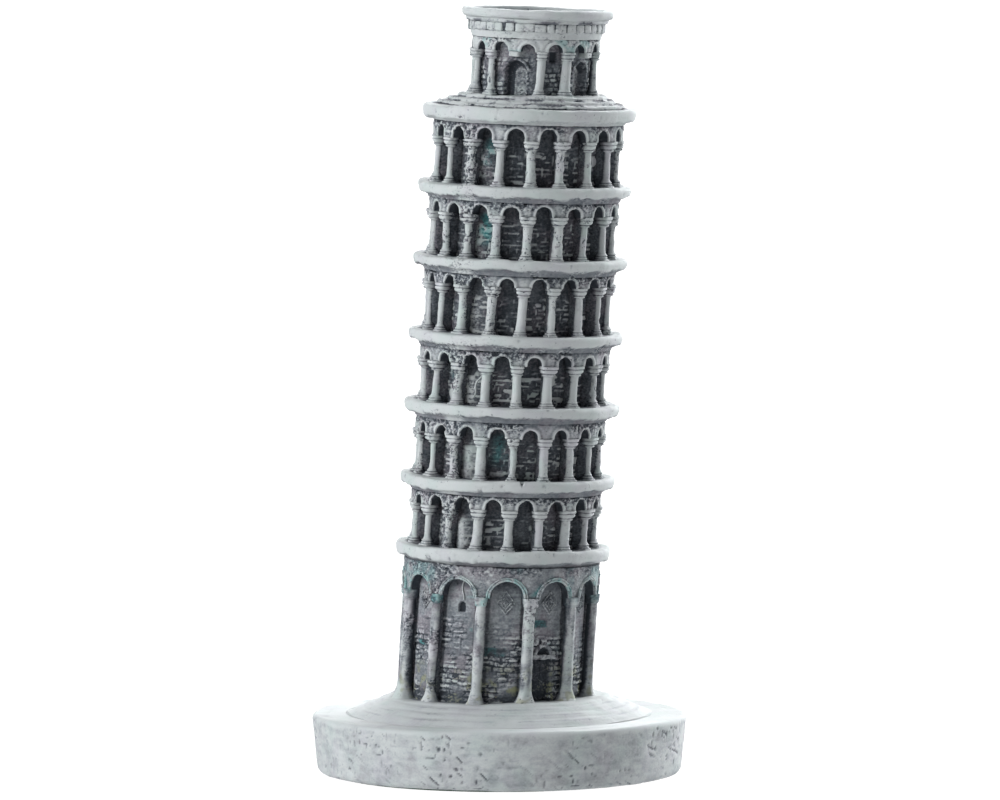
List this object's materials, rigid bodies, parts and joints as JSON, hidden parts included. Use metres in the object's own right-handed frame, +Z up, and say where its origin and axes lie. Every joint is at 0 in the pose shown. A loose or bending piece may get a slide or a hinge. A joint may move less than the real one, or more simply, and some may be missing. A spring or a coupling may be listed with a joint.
{
  "type": "miniature landmark model",
  "caption": "Cast resin souvenir of a leaning round bell tower: arcaded ground storey, open column galleries and a stepped belfry on a thick round plinth with a felt pad.",
  "frame": {"origin": "centre of the felt pad's underside, on the surface the model stands on", "axes": "+Z up; -Y is the front; the tower leans towards +X"},
  "size_m": [0.075, 0.075, 0.1557],
  "materials": {
    "felt": "short-pile felt",
    "plinth_paint": "hand-painted cast resin, pale grey with a thin blue-green wash, pitted side",
    "wall_paint": "cast resin masonry under a charcoal wash, dry-brushed grey on the raised courses",
    "column_paint": "cast resin, pale grey with dark wash at the bases and capitals",
    "arch_paint": "cast resin, pale grey over a charcoal wash, teal tints on the lowest arches",
    "ledge_paint": "cast resin, pale blue-grey, chipped edges",
    "crown_paint": "cast resin, pale grey with dark wash between the dentils"
  },
  "bodies": {
    "root": {"felt_pad": "felt", "plinth": "plinth_paint", "foot_steps": "plinth_paint", "ground_wall": "wall_paint", "ground_columns": "column_paint", "ground_arcade": "arch_paint", "ground_archivolts": "arch_paint", "ground_lozenges": "arch_paint", "door_leaf": "wall_paint", "door_surround": "arch_paint", "cornice_1": "ledge_paint", "cornice_2": "ledge_paint", "cornice_3": "ledge_paint", "cornice_4": "ledge_paint", "cornice_5": "ledge_paint", "cornice_6": "ledge_paint", "cornice_7": "ledge_paint", "gallery_2_wall": "wall_paint", "gallery_3_wall": "wall_paint", "gallery_4_wall": "wall_paint", "gallery_5_wall": "wall_paint", "gallery_6_wall": "wall_paint", "gallery_7_wall": "wall_paint", "gallery_2_columns": "column_paint", "gallery_3_columns": "column_paint", "gallery_4_columns": "column_paint", "gallery_5_columns": "column_paint", "gallery_6_columns": "column_paint", "gallery_7_columns": "column_paint", "gallery_2_arcade": "arch_paint", "gallery_3_arcade": "arch_paint", "gallery_4_arcade": "arch_paint", "gallery_5_arcade": "arch_paint", "gallery_6_arcade": "arch_paint", "gallery_7_arcade": "arch_paint", "belfry_steps": "ledge_paint", "belfry_wall": "wall_paint", "belfry_columns": "column_paint", "belfry_corbels": "column_paint", "belfry_arcade": "arch_paint", "belfry_archivolts": "arch_paint", "belfry_frieze": "crown_paint", "belfry_dentils": "crown_paint", "belfry_crown": "crown_paint", "belfry_roof": "crown_paint"}
  },
  "joints": []
}
